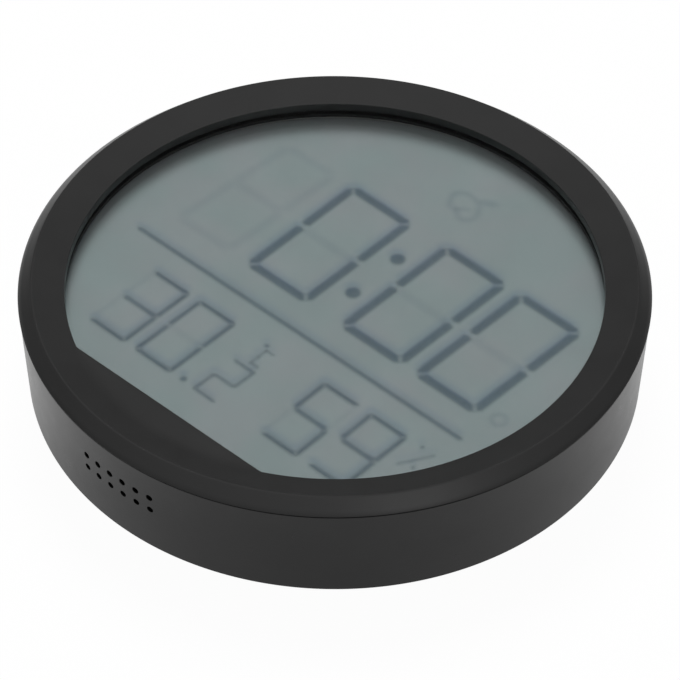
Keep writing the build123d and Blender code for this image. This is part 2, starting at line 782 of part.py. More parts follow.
# Humidity sensor: an upright plate on two leads, facing the vents
sensor_y = board_lower_y - sensor_reach
lead_z = board_bottom - sensor_lead / 2
lead_length = sensor_reach + sensor_lead_overlap
with BuildPart() as humidity_sensor:
    with BuildSketch(Plane.XZ.offset(-sensor_y)):
        with Locations((-sensor_spacing / 2, lead_z)):
            Rectangle(humidity_plate, humidity_height)
    extrude(amount=humidity_thickness)
    with BuildSketch(Plane.XZ.offset(-sensor_y)):
        with Locations((-sensor_spacing / 2, lead_z)):
            with GridLocations(humidity_height, humidity_height, 2, 1):
                Circle(sensor_lead / 2)
    extrude(amount=-lead_length)
humidity_sensor.part.label = "humidity_sensor"
export_step(humidity_sensor.part, "parts/humidity_sensor.step")

# Thermistor: a bead on two leads
with BuildPart() as thermistor:
    with Locations((sensor_spacing / 2, sensor_y, lead_z)):
        Sphere(thermistor_diameter / 2)
    with BuildSketch(Plane.XZ.offset(-sensor_y)):
        with Locations((sensor_spacing / 2, lead_z)):
            with GridLocations(2 * sensor_lead, sensor_lead, 2, 1):
                Circle(sensor_lead / 2)
    extrude(amount=-lead_length)
thermistor.part.label = "thermistor"
export_step(thermistor.part, "parts/thermistor.step")

# Back buttons, the plungers they push and the switches on the board
for name, x in button_places.items():
    with BuildPart() as button:
        with BuildSketch(at_height(button_recess)):
            with Locations((x, button_row_y)):
                SlotOverall(button_length, button_width)
        extrude(amount=button_seat_z - button_recess)
        face_edges = button.edges().group_by(Axis.Z)[0]
        fillet(face_edges, radius=button_round)
        with BuildSketch(at_height(button_seat_z)):
            with Locations((x, button_row_y)):
                SlotOverall(button_length + 2 * button_flange_margin, button_width + 2 * button_flange_margin)
        extrude(amount=button_flange)
        with BuildSketch(at_height(button_seat_z + button_flange)):
            with Locations((x, button_row_y)):
                Circle(button_stem_diameter / 2)
        extrude(amount=plunger_tip_z - button_seat_z - button_flange)
    button.part.label = f"button_{name}"
    export_step(button.part, f"parts/button_{name}.step")

    with BuildPart() as switch_plunger:
        with BuildSketch(at_height(plunger_tip_z)):
            with Locations((x, button_row_y)):
                Circle(plunger_diameter / 2)
        extrude(amount=plunger_reach + plunger_root)
    switch_plunger.part.label = f"switch_plunger_{name}"
    export_step(switch_plunger.part, f"parts/switch_plunger_{name}.step")

    with BuildPart() as switch_body:
        with BuildSketch(at_height(switch_bottom)):
            with Locations((x, button_row_y)):
                Rectangle(switch_side, switch_side)
        extrude(amount=switch_height)
        with BuildSketch(at_height(switch_bottom)):
            with Locations((x, button_row_y)):
                Circle(plunger_diameter / 2 + plunger_clearance)
        extrude(amount=plunger_root + button_travel + button_clearance, mode=Mode.SUBTRACT)
    switch_body.part.label = f"switch_body_{name}"
    export_step(switch_body.part, f"parts/switch_body_{name}.step")


# Screws driven upwards, each group as places, height of the seat of the head, and length
board_screw_length = board_thickness + board_standoff + board_screw_bite
screw_groups = {
    "case_screws": (case_boss_places, case_screw_seat, case_screw_length),
    "holder_screws": (holder_boss_places, holder_bottom, holder_screw_length),
    "board_screws": (board_post_places, board_bottom, board_screw_length),
}
cross_length = screw_head_diameter * cross_length_share
for label, (places, seat_z, length) in screw_groups.items():
    with BuildPart() as screws:
        with BuildSketch(at_height(seat_z - screw_head_height)):
            with Locations(*places):
                Circle(head_radius)
        extrude(amount=screw_head_height)
        with BuildSketch(at_height(seat_z)):
            with Locations(*places):
                Circle(core_radius)
        extrude(amount=length)
        with BuildSketch(at_height(seat_z - screw_head_height)):
            with Locations(*places):
                Rectangle(cross_length, screw_recess_width)
                Rectangle(screw_recess_width, cross_length)
        extrude(amount=screw_recess_depth, mode=Mode.SUBTRACT)
    screws.part.label = label
    export_step(screws.part, f"parts/{label}.step")

# Cells: the lower one has its tip towards -X, the upper one towards +X
for label, y, towards_tip in (("battery_lower", cell_low_y, -1), ("battery_upper", cell_high_y, 1)):
    tip_end = towards_tip * (bay_half - contact_thickness)
    shoulder = tip_end - towards_tip * cell_tip_length
    with BuildPart() as cell:
        with BuildSketch(Plane.YZ.offset(shoulder)):
            with Locations((y, cell_z)):
                Circle(cell_radius)
        extrude(amount=-towards_tip * cell_length)
        fillet(cell.edges().filter_by(GeomType.CIRCLE), radius=cell_round)
        with BuildSketch(Plane.YZ.offset(shoulder)):
            with Locations((y, cell_z)):
                Circle(cell_tip_diameter / 2)
        extrude(amount=towards_tip * cell_tip_length)
    cell.part.label = label
    export_step(cell.part, f"parts/{label}.step")

# Contact plates: two with solder tabs through the wall, and one that bridges both cells
lead_near_x = -(bay_half + bay_wall + tab_reach / 2)
lead_far_x = lead_near_x - lead_spacing
with BuildPart() as contact_plates:
    for y, reach in ((cell_low_y, tab_reach), (cell_high_y, tab_reach + lead_spacing)):
        with BuildSketch(Plane.YZ.offset(-bay_half)):
            with Locations((y, plate_mid_z)):
                Rectangle(plate_width, plate_height)
        extrude(amount=contact_thickness)
        with BuildSketch(Plane.YZ.offset(-bay_half)):
            with Locations((y, cell_z)):
                Rectangle(tab_width, contact_thickness)
        extrude(amount=-bay_wall - reach)
    with BuildSketch(Plane.YZ.offset(bay_half)):
        with Locations((bay_mid_y, plate_mid_z)):
            Rectangle(cell_pitch + plate_width, plate_height)
    extrude(amount=-contact_thickness)
contact_plates.part.label = "contact_plates"
export_step(contact_plates.part, "parts/contact_plates.step")

# Conical springs that press the cells against the plates
spring_rise = spring_length - spring_wire
spring_base = (spring_base_diameter - spring_wire) / 2
spring_tip = (spring_tip_diameter - spring_wire) / 2
spring_cone = math.degrees(math.atan((spring_base - spring_tip) / spring_rise))
for label, y, inwards in (("contact_spring_lower", cell_low_y, -1), ("contact_spring_upper", cell_high_y, 1)):
    seat_x = -inwards * (bay_half - contact_thickness - spring_wire / 2)
    with BuildPart() as spring:
        with BuildLine() as coil:
            Helix(
                pitch=spring_rise / spring_turns,
                height=spring_rise,
                radius=spring_base,
                center=(seat_x, y, cell_z),
                direction=(inwards, 0, 0),
                cone_angle=-spring_cone,
            )
        with BuildSketch(Plane(origin=coil.line @ 0, z_dir=coil.line % 0)):
            Circle(spring_wire / 2)
        sweep(path=coil.line, is_frenet=True)
    spring.part.label = label
    export_step(spring.part, f"parts/{label}.step")

# Battery leads, from the solder tabs to the underside of the board
tab_top_z = cell_z + contact_thickness / 2
lead_centre_z = tab_top_z + lead_diameter / 2
leads = (
    ("battery_lead_positive", lead_near_x, cell_low_y),
    ("battery_lead_negative", lead_far_x, cell_high_y),
)
for label, x, y in leads:
    with BuildPart() as lead:
        with BuildLine() as route:
            FilletPolyline(
                (x, y + tab_width / 2, lead_centre_z),
                (x, lead_pad_y, lead_centre_z),
                (x, lead_pad_y, board_bottom),
                radius=lead_bend,
            )
        with BuildSketch(Plane(origin=route.line @ 0, z_dir=route.line % 0)):
            Circle(lead_diameter / 2)
        sweep(path=route.line)
    lead.part.label = label
    export_step(lead.part, f"parts/{label}.step")
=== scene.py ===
import json
import math

import bmesh
import bpy
from mathutils import Matrix, Vector


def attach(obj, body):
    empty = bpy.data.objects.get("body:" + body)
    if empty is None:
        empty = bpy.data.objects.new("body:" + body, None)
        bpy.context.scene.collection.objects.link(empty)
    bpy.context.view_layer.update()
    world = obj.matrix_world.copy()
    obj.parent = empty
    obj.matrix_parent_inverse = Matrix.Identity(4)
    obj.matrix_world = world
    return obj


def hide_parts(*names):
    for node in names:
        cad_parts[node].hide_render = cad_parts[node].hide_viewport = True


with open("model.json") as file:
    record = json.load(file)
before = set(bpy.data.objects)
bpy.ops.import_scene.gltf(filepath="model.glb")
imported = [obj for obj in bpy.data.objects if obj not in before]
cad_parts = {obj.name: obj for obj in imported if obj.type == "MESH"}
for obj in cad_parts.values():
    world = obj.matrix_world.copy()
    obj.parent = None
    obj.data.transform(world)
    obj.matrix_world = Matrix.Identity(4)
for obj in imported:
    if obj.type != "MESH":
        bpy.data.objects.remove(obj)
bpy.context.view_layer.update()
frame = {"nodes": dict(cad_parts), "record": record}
nodes = frame["nodes"]

# Shapes are written in millimetres, in the frame of the CAD part, and scaled to metres as they are made
MM = 0.001
STEPS = 720  # columns around the large rings
DEPTH = "depth"  # mesh attribute of the display's films

# The same sizes as in the part's source
WINDOW = 65.3  # radius of the window
CHORD = 58.2  # from the centre to the window's straight edge at 6 o'clock
WINDOW_Z = 26.05
CREST = 73.1  # radius of the ring's highest circle
CREST_Z = 29.05
CREST_ROUND = 0.6
RIM = 76.5
SEAM_Z = 25.9  # foot of the chamfer
BEZEL_BOTTOM = 25.75
LANDING = 68.4  # outer radius of the flat ring that the lens is stuck to
LANDING_Z = 24.05
LIP_INNER, LIP_OUTER, LIP_Z = 72.5, 73.9, 23.0  # of the ring's lip, which reaches into the case
WALL_TOP = 76.38
WALL_BASE = 75.9
CASE_TOP = 25.40
PLATE = 2.2  # thickness of the back plate
BOSS = 3.05  # radius of a screw boss
BOSS_CORE = 0.95  # radius of the hole in it
BOSS_CIRCLE = 70.15
CASE_BOSSES, HOLDER_BOSSES = (
    [(BOSS_CIRCLE * math.cos(a), BOSS_CIRCLE * math.sin(a)) for a in map(math.radians, degrees)]
    for degrees in ((45, 135, 225, 315), (20, 160, 200, 340))
)
PANE_BOTTOM, PANE_TOP = 22.4, 23.9
FRAME_BOTTOM = 21.4
REFLECTOR_BOTTOM, REFLECTOR_TOP = 18.7, 19.0
BAY_Y = 21.25  # middle of the battery bay
HOOK_Y, LATCH_Y = 6.0, 4.5  # from there to the door's hooks and to the slits beside its latch
CELL_YS = (15.85, 26.65)
CELL_Z = 7.45
BUTTON_XS = {"mode": -17.0, "up": 0.0, "down": 17.0}
BUTTON_Y = 2.5
AXIS_Y, AXIS_Z = -57.0, 3.2  # hinge of the stand
LEG_END = -11.0
LEG_HALF = 22.0
LEG_BOTTOM, LEG_TOP = 0.6, 2.9
RECESS_Y = -35.3  # middle of the stand's recess
FINGER_Y = -10.5  # middle of the round hollow at the leg's free end
KEYHOLE_Y, ENTRY_Y = 57.5, 54.0
VENT_ZS, VENT_COLUMNS, VENT_PITCH = (17.4, 13.4), 6, 4.0
VENT_RADIUS, VENT_TURN = 0.85, 0.6  # the turn in degrees, round from the middle of the chord

# The display's image, fitted to the photograph
IMAGE_Z = 20.5  # height at which it appears, seen through its front glass
DISPLAY_TURN = -0.95  # degrees by which it sits turned in the case
PAINTED_SHADOW_SHIFT = (-1.35, 1.33)  # from the lit figures to their soft shade on the reflector


# ---- Camera, fitted to the photograph ----
def make_camera():
    """The camera, fitted in units of the rim's radius around the seam's centre. Returns its turn about Z."""
    elevation, roll, turn = 0.787246, 0.0065376, math.radians(41.29)
    across, along, distance = -0.0156627, -0.1976132, 7.909321
    sensor_width, focal_length, photo_width = 36.0, 2500, 680  # the last two in pixels
    ce, se = math.cos(elevation), math.sin(elevation)
    forward = Vector((0, ce, -se))
    level, under = Vector((1, 0, 0)), Vector((0, -se, -ce))
    right = math.cos(roll) * level - math.sin(roll) * under
    down = math.sin(roll) * level + math.cos(roll) * under
    place = -across * right - along * down - distance * forward
    spin = Matrix.Rotation(turn, 3, "Z")
    data = bpy.data.cameras.new("camera")
    data.sensor_fit = "HORIZONTAL"
    data.sensor_width = sensor_width
    data.lens = sensor_width * focal_length / photo_width
    data.clip_start, data.clip_end = 0.01, 20
    camera = bpy.data.objects.new("camera", data)
    bpy.context.scene.collection.objects.link(camera)
    axes = Matrix((right, -down, -forward)).transposed()
    camera.matrix_world = (
        Matrix.Translation(spin @ place * RIM * MM + Vector((0, 0, SEAM_Z * MM))) @ (spin @ axes).to_4x4()
    )
    bpy.context.scene.camera = camera
    return spin


# ---- Mesh helpers ----
class Shape:
    """Points and faces gathered into one mesh."""

    def __init__(self):
        self.points, self.faces = [], []

    def add(self, points, faces):
        first = len(self.points)
        self.points += [tuple(p) for p in points]
        self.faces += [[first + i for i in face] for face in faces]
        return self

    def ring(self, columns):
        """A closed ring through columns, each an angle and a closed profile of (radius, height)."""
        rows = len(columns[0][1])
        points = [(r * math.cos(a), r * math.sin(a), z) for a, profile in columns for r, z in profile]
        count = len(columns)
        faces = []
        for i in range(count):
            here, there = i * rows, (i + 1) % count * rows
            for j in range(rows):
                up = (j + 1) % rows
                faces.append((here + j, there + j, there + up, here + up))
        return self.add(points, faces)

    def lathe(self, profile, steps=STEPS, centre=(0.0, 0.0)):
        """A solid of revolution about an upright axis. The profile starts and ends on the axis."""
        inner = profile[1:-1]
        cx, cy = centre
        points = [(cx, cy, profile[0][1]), (cx, cy, profile[-1][1])]
        for i in range(steps):
            a = math.tau * i / steps
            points += [(cx + r * math.cos(a), cy + r * math.sin(a), z) for r, z in inner]
        rows, faces = len(inner), []
        for i in range(steps):
            here, there = 2 + i * rows, 2 + (i + 1) % steps * rows
            faces.append((0, there, here))
            faces += [(here + j, there + j, there + j + 1, here + j + 1) for j in range(rows - 1)]
            faces.append((1, here + rows - 1, there + rows - 1))
        return self.add(points, faces)

    def prism(self, sections):
        """A closed prism through sections, each a height and an outline of the same number of points."""
        count = len(sections[0][1])
        points = [(x, y, z) for z, outline in sections for x, y in outline]
        faces = [tuple(reversed(range(count)))]
        for k in range(len(sections) - 1):
            low, high = k * count, (k + 1) * count
            for i in range(count):
                beside = (i + 1) % count
                faces.append((low + i, low + beside, high + beside, high + i))
        faces.append(tuple(range((len(sections) - 1) * count, len(sections) * count)))
        return self.add(points, faces)

    def turned(self, matrix):
        """Moved by the matrix, if there is one."""
        if matrix is not None:
            self.points = [tuple(matrix @ Vector(p)) for p in self.points]
        return self

    def object(self, name):
        mesh = bpy.data.meshes.new(name)
        mesh.from_pydata([(x * MM, y * MM, z * MM) for x, y, z in self.points], [], self.faces)
        work = bmesh.new()
        work.from_mesh(mesh)
        bmesh.ops.recalc_face_normals(work, faces=work.faces)
        work.to_mesh(mesh)
        work.free()
        made = bpy.data.objects.new(name, mesh)
        bpy.context.scene.collection.objects.link(made)
        return made


def arc(cx, cy, r, start, end, steps):
    return [
        (cx + r * math.cos(math.radians(start + (end - start) * i / steps)),
         cy + r * math.sin(math.radians(start + (end - start) * i / steps)))
        for i in range(steps + 1)
    ]


def circle(cx, cy, radius, steps=48):
    return arc(cx, cy, radius, 0, 360, steps)[:-1]


def rounded(cx, cy, width, depth, radius, grow=0.0, steps=8):
    """Outline of a rectangle with round corners, moved outwards by grow."""
    least_radius = 0.02
    w, d, r = width / 2 + grow, depth / 2 + grow, max(radius + grow, least_radius)
    out = []
    for sx, sy, start in ((1, 1, 0), (-1, 1, 90), (-1, -1, 180), (1, -1, 270)):
        out += arc(cx + sx * (w - r), cy + sy * (d - r), r, start, start + 90, steps)
    return out


def straight(outline, low, high):
    """Sections of a prism with upright sides."""
    return [(low, outline), (high, outline)]


def layers(outline, *steps):
    """Sections through (height, grow) steps of an outline that is a function of grow."""
    return [(z, outline(grow)) for z, grow in steps]


def mouth(outline, depth, flare=0.25):
    """Sections of a pocket from the back face, with a small chamfer at its mouth."""
    return layers(outline, (-1.0, flare), (0.0, flare), (flare, 0.0), (depth, 0.0))


def along_x(y, z):
    """The matrix that lays a prism about the upright axis along X, at this place."""
    return Matrix.Translation((0, y, z)) @ Matrix.Rotation(math.radians(90), 4, "Y")


def applied(target):
    """Turn the modifiers into the mesh itself."""
    graph = bpy.context.evaluated_depsgraph_get()
    mesh = bpy.data.meshes.new_from_object(target.evaluated_get(graph))
    target.modifiers.clear()
    target.data = mesh


def boolean(target, cutter, operation):
    modifier = target.modifiers.new("work", "BOOLEAN")
    modifier.operation, modifier.object, modifier.solver = operation, cutter, "MANIFOLD"
    applied(target)
    bpy.data.objects.remove(cutter)


def cut(target, sections, matrix=None):
    boolean(target, Shape().prism(sections).turned(matrix).object("cutter"), "DIFFERENCE")


def join(target, sections, matrix=None):
    boolean(target, Shape().prism(sections).turned(matrix).object("block"), "UNION")


def dress(made, material, body, sharp, stands_for=(), flats=False):
    """Give a piece its material and body, and smooth shading except at edges beyond sharp degrees.
    With flats, its large faces shade flat. It replaces the CAD nodes that it stands for."""
    made.data.materials.clear()
    made.data.materials.append(material)
    made.data.shade_smooth()
    made.data.set_sharp_from_angle(angle=math.radians(sharp))
    if flats:
        weighted = made.modifiers.new("flats", "WEIGHTED_NORMAL")
        weighted.keep_sharp = True
        applied(made)
    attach(made, body)
    if stands_for:
        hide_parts(*stands_for)


# ---- Materials ----
def grey(level):
    return (level,) * 3


class Nodes:
    """A node tree under construction."""

    def __init__(self, tree):
        self.tree = tree
        tree.nodes.clear()

    def node(self, kind, **values):
        made = self.tree.nodes.new(kind)
        for key, value in values.items():
            setattr(made, key, value)
        return made

    def fill(self, socket, value):
        """Link a socket to an output, or set its plain value."""
        if isinstance(value, bpy.types.NodeSocket):
            self.tree.links.new(value, socket)
        else:
            socket.default_value = (*value, 1.0) if socket.type == "RGBA" else value

    def make(self, kind, output, inputs, **values):
        """An output of a new node with these inputs."""
        made = self.node(kind, **values)
        for key, value in inputs.items():
            self.fill(made.inputs[key], value)
        return made.outputs[output]

    def maths(self, operation, first, second):
        return self.make("ShaderNodeMath", "Value", {0: first, 1: second}, operation=operation)

    def mix(self, share, first, second):
        """A share of the second shader over the first."""
        return self.make("ShaderNodeMixShader", "Shader", {"Fac": share, 1: first, 2: second})

    def span(self, value, low, high, start=0.0, end=1.0, kind="LINEAR"):
        """From low to high as the value goes from start to end."""
        return self.make(
            "ShaderNodeMapRange", "Result",
            {"Value": value, "From Min": start, "From Max": end, "To Min": low, "To Max": high},
            interpolation_type=kind,
        )


class Paint(Nodes):
    """A material under construction. Its textures lie by the place on the object, with scales per metre."""

    def __init__(self, name):
        self.material = bpy.data.materials.new(name)
        self.material.use_nodes = True
        super().__init__(self.material.node_tree)
        self.out = self.node("ShaderNodeOutputMaterial")
        self.place = self.node("ShaderNodeTexCoord").outputs["Object"]

    def noise(self, scale, detail=3.0, roughness=0.5):
        return self.make(
            "ShaderNodeTexNoise", "Fac",
            {"Vector": self.place, "Scale": scale, "Detail": detail, "Roughness": roughness},
        )

    def ramp(self, value, stops, interpolation="LINEAR"):
        """Colours by value, as (position, colour) stops."""
        made = self.node("ShaderNodeValToRGB")
        made.color_ramp.interpolation = interpolation
        items = made.color_ramp.elements
        while len(items) < len(stops):
            items.new(0.5)  # its place is set below
        for item, (position, colour) in zip(items, stops):
            item.position = position
            item.color = (*colour, 1.0)
        self.fill(made.inputs["Fac"], value)
        return made.outputs["Color"]

    def bump(self, height, strength, distance):
        return self.make(
            "ShaderNodeBump", "Normal", {"Height": height, "Strength": strength, "Distance": distance * MM}
        )

    def cover(self, surface):
        """Take this shader as the surface. Returns the finished material."""
        self.fill(self.out.inputs["Surface"], surface)
        return self.material

    def shader(self, **sockets):
        """Take the Principled shader as the surface, with plain values or links on its sockets."""
        inputs = {key.replace("_", " "): value for key, value in sockets.items()}
        return self.cover(self.make("ShaderNodeBsdfPrincipled", "BSDF", inputs))


def moulded(name, dark, light, rough, grain, depth, ior=1.45):
    """Moulded plastic: slight mottling, uneven roughness between these two and a fine grain of this depth."""
    paint = Paint(name)
    return paint.shader(
        Base_Color=paint.ramp(paint.noise(scale=90.0, detail=4.0), [(0.35, dark), (0.65, light)]),
        Roughness=paint.span(paint.noise(scale=220.0, detail=4.0, roughness=0.6), *rough),
        IOR=ior,
        Normal=paint.bump(paint.noise(scale=grain, detail=2.0, roughness=0.6), strength=0.35, distance=depth),
    )


def metal(name, dark, light, rough):
    """Plated metal with fine marks."""
    paint = Paint(name)
    return paint.shader(
        Base_Color=paint.ramp(
            paint.noise(scale=700.0, detail=4.0, roughness=0.6), [(0.3, dark), (0.7, light)]
        ),
        Metallic=1.0,
        Roughness=paint.span(paint.noise(scale=1500.0, roughness=0.6), *rough),
        Normal=paint.bump(paint.noise(scale=2500.0, detail=2.0), strength=0.2, distance=0.02),
    )


def clear(name, tint, least, rough):
    """A clear pane: it lets light through and mirrors this share at least, and more at a glancing angle."""
    paint = Paint(name)
    facing = paint.make("ShaderNodeLayerWeight", "Facing", {})
    share = paint.span(paint.maths("POWER", facing, 5.0), least, 1.0)
    lighter = tuple(min(1.0, c + 0.01) for c in tint)
    haze = paint.ramp(paint.noise(scale=60.0, detail=2.0), [(0.3, tint), (0.7, lighter)])
    through = paint.make("ShaderNodeBsdfTransparent", "BSDF", {"Color": haze})
    uneven = paint.span(paint.noise(scale=150.0), *rough)
    gloss = paint.make("ShaderNodeBsdfGlossy", "BSDF", {"Color": grey(1.0), "Roughness": uneven})
    return paint.cover(paint.mix(share, through, gloss))


def film(name, passed, uneven):
    """A thin film that dims what lies behind it, most where its mesh says. Light goes through it twice."""
    paint = Paint(name)
    depth = paint.node("ShaderNodeAttribute", attribute_name=DEPTH).outputs["Fac"]
    share = paint.maths("MULTIPLY", depth, paint.span(paint.noise(scale=420.0), 1.0 - uneven, 1.0))
    count = 6
    shares = [i / count for i in range(count + 1)]
    stops = [(s, tuple(math.sqrt(1 - s * (1 - c)) for c in passed)) for s in shares]
    return paint.cover(paint.make("ShaderNodeBsdfTransparent", "BSDF", {"Color": paint.ramp(share, stops)}))


def cell_jacket():
    """Jacket of a dry cell: bare steel ends, a dark body and a lighter band, by the place along X."""
    paint = Paint("cell_jacket_printed")
    reach = 0.0255  # metres each way from the middle of the bay
    x = paint.make("ShaderNodeSeparateXYZ", "X", {"Vector": paint.place})
    along = paint.span(x, 0.0, 1.0, -reach, reach)
    steel, navy, teal = (0.55, 0.54, 0.52), (0.015, 0.03, 0.09), (0.03, 0.28, 0.3)
    bands = [
        (0.0, steel), (0.045, steel), (0.05, navy), (0.24, teal), (0.27, navy), (0.86, navy), (0.865, steel),
    ]
    bare = [(0.0, grey(1)), (0.05, grey(0)), (0.865, grey(1))]
    return paint.shader(
        Base_Color=paint.ramp(along, bands, "CONSTANT"),
        Metallic=paint.ramp(along, bare, "CONSTANT"),
        Roughness=paint.span(paint.noise(scale=900.0), 0.22, 0.34),
        Normal=paint.bump(paint.noise(scale=500.0, detail=2.0), strength=0.1, distance=0.03),
    )


def board():
    """Solder mask over copper tracks, with the tracks as a faint relief."""
    paint = Paint("board_solder_mask")
    tracks = paint.make(
        "ShaderNodeTexWave", "Fac",
        {"Vector": paint.place, "Scale": 260.0, "Distortion": 9.0, "Detail": 1.0, "Detail Scale": 0.6},
        wave_type="BANDS", bands_direction="DIAGONAL",
    )
    return paint.shader(
        Base_Color=paint.ramp(tracks, [(0.42, (0.008, 0.09, 0.03)), (0.5, (0.02, 0.19, 0.07))]),
        Roughness=paint.span(paint.noise(scale=400.0), 0.3, 0.42),
        Normal=paint.bump(tracks, strength=0.4, distance=0.04),
    )


def reflector():
    """Satin silver-grey film behind the liquid crystal, slightly uneven in tint."""
    paint = Paint("reflector_grey_film")
    tints = [(0.38, (0.224, 0.257, 0.275)), (0.5, (0.231, 0.255, 0.275)), (0.62, (0.239, 0.252, 0.275))]
    return paint.shader(
        Base_Color=paint.ramp(paint.noise(scale=52.0, detail=2.0, roughness=0.45), tints),
        Roughness=paint.span(paint.noise(scale=300.0), 0.5, 0.58),
        Metallic=0.25,
        Normal=paint.bump(paint.noise(scale=5200.0, detail=2.0, roughness=0.6), strength=0.25, distance=0.01),
    )


# Name, dark and light tone, least and most roughness, grain per metre and its depth in millimetres, and for
# two of them the index of refraction
bezel_black = moulded("bezel_black_satin", grey(0.0035), grey(0.0055), (0.3, 0.36), 2600.0, 0.012, 1.5)
case_black = moulded("case_black_fine_grain", grey(0.0045), grey(0.0075), (0.25, 0.33), 1500.0, 0.03, 1.42)
inner_black = moulded("inner_black_matt", grey(0.002), grey(0.004), (0.5, 0.62), 1800.0, 0.02)
inner_white = moulded("inner_white_matt", (0.66, 0.66, 0.63), (0.74, 0.74, 0.71), (0.45, 0.55), 1200.0, 0.03)
button_grey = moulded(
    "button_grey_satin", (0.05, 0.05, 0.053), (0.065, 0.065, 0.068), (0.36, 0.46), 1700.0, 0.02
)
mark_white = moulded("mark_white_print", grey(0.6), grey(0.72), (0.5, 0.6), 2400.0, 0.01)
resin_black = moulded("resin_black_semi_gloss", grey(0.006), grey(0.012), (0.18, 0.3), 500.0, 0.06)
pad_rubber = moulded("pad_rubber_matt", grey(0.012), grey(0.022), (0.7, 0.85), 2200.0, 0.04)
connector_rubber = moulded(
    "connector_rubber_matt", (0.16, 0.04, 0.035), (0.24, 0.06, 0.05), (0.6, 0.75), 1500.0, 0.03
)
adhesive = moulded("adhesive_black", grey(0.01), grey(0.02), (0.5, 0.6), 900.0, 0.02)
lead_red = moulded("lead_red_vinyl", (0.42, 0.012, 0.01), (0.5, 0.02, 0.015), (0.3, 0.42), 1500.0, 0.02)
lead_black = moulded("lead_black_vinyl", grey(0.006), grey(0.012), (0.3, 0.42), 1500.0, 0.02)
# Name, dark and light tone, least and most roughness
bright_metal = metal("bright_metal_nickel", (0.5, 0.48, 0.43), (0.68, 0.66, 0.6), (0.16, 0.3))
screw_steel = metal("screw_steel_zinc", (0.38, 0.38, 0.39), (0.55, 0.55, 0.56), (0.24, 0.4))
# Name, tint, least share mirrored, least and most roughness
lens_clear = clear("lens_clear_acrylic", (0.975, 0.985, 0.98), 0.03, (0.02, 0.05))
cell_glass = clear("display_glass_clear", (0.965, 0.985, 0.975), 0.02, (0.08, 0.14))
# Name, share of each colour that comes back, share by which that varies
lit_film = film("display_lit_film", (0.225, 0.335, 0.415), 0.05)
# A bluish painted shadow of the lit figures, laid on the reflector as a film
painted_shadow_film = film("display_painted_shadow_film", (0.68, 0.755, 0.89), 0.12)
unlit_film = film("display_unlit_film", (0.885, 0.895, 0.92), 0.3)
icon_film = film("display_icon_film", (0.72, 0.76, 0.81), 0.5)


# ---- Front bezel ----
def face_height(r, blend):
    """Height of the dished face, which runs softly into the flat land inside the window radius."""
    slope = (CREST_Z - WINDOW_Z) / (CREST - WINDOW)
    d = r - WINDOW
    if blend > 1e-4 and abs(d) < blend:
        return WINDOW_Z + slope * (d + blend) ** 2 / (4 * blend)
    return WINDOW_Z + max(0.0, slope * d)


def window_edge(angle):
    """Radius of the window's edge in a direction, and how far inside the chord's ends it lies, in degrees."""
    off = abs((math.degrees(angle) + 90 + 180) % 360 - 180)
    half = math.degrees(math.acos(CHORD / WINDOW))
    return (CHORD / math.cos(math.radians(off)) if off < half else WINDOW), half - off


def ring_angles():
    """Evenly spaced directions, with the two nearest to the ends of the chord moved onto them."""
    half = math.acos(CHORD / WINDOW)
    angles = [math.tau * i / STEPS for i in range(STEPS)]
    for end in (-math.pi / 2 - half, -math.pi / 2 + half):
        near = min(range(STEPS), key=lambda i: abs((angles[i] - end + math.pi) % math.tau - math.pi))
        angles[near] = end % math.tau
    return angles


def bezel():
    rise, run = CREST_Z - SEAM_Z, RIM - CREST
    chamfer = math.atan2(rise, run)
    slope = math.atan2(CREST_Z - WINDOW_Z, CREST - WINDOW)
    back = CREST_ROUND * math.tan((chamfer + slope) / 2)
    start = (CREST + back * math.cos(chamfer), CREST_Z - back * math.sin(chamfer))
    centre = (start[0] - CREST_ROUND * math.sin(chamfer), start[1] - CREST_ROUND * math.cos(chamfer))
    crest = arc(*centre, CREST_ROUND, 90 - math.degrees(chamfer), 90 + math.degrees(slope), 10)
    # Foot of the ring, its slightly rounded edges at the seam, and the chamfer
    outer = [
        (LIP_OUTER, BEZEL_BOTTOM), (RIM - 0.1, BEZEL_BOTTOM), (RIM, BEZEL_BOTTOM + 0.06),
        (RIM, SEAM_Z - 0.04), (RIM - 0.05, SEAM_Z + 0.06),
        *((RIM - run * k, SEAM_Z + rise * k) for k in (0.3, 0.65)),
    ]
    edge = 0.28  # radius of the window's edge
    widest, run_in = 1.9, 5.0  # blend of the face into the land, and the degrees over which it grows
    face_steps = 39
    skin = [(LANDING, 25.14), (LIP_INNER, 26.72)]  # underside of the dished face
    columns = []
    for angle in ring_angles():
        inner, inside = window_edge(angle)
        grow = widest * min(1.0, max(0.0, inside / run_in)) ** 0.8
        first, last = crest[-1][0] - 0.1, inner + edge
        radii = [first + (last - first) * j / face_steps for j in range(face_steps + 1)]
        face = [(r, face_height(r, grow)) for r in radii]
        top = face_height(inner + edge, grow)
        turn = [
            (inner + edge * (1 - math.sin(math.radians(a))), top - edge * (1 - math.cos(math.radians(a))))
            for a in (18, 36, 54, 72, 90)
        ]
        under = [(inner, LANDING_Z), (LANDING, LANDING_Z), *skin, (LIP_INNER, LIP_Z), (LIP_OUTER, LIP_Z)]
        columns.append((angle, outer + crest + face + turn + under))
    shape = Shape().ring(columns)
    boss_top = 25.6
    for places, foot, depth in ((CASE_BOSSES, 10.1, 7.2), (HOLDER_BOSSES, 18.7, 5.4)):
        hole = foot + depth
        bore, wall = [(0, hole), (BOSS_CORE, hole)], [(BOSS, foot), (BOSS, boss_top), (0, boss_top)]
        for place in places:
            shape.lathe([*bore, (BOSS_CORE, foot), *wall], steps=48, centre=place)
    dress(shape.object("front_ring"), bezel_black, "case", 25, ["front_bezel"])


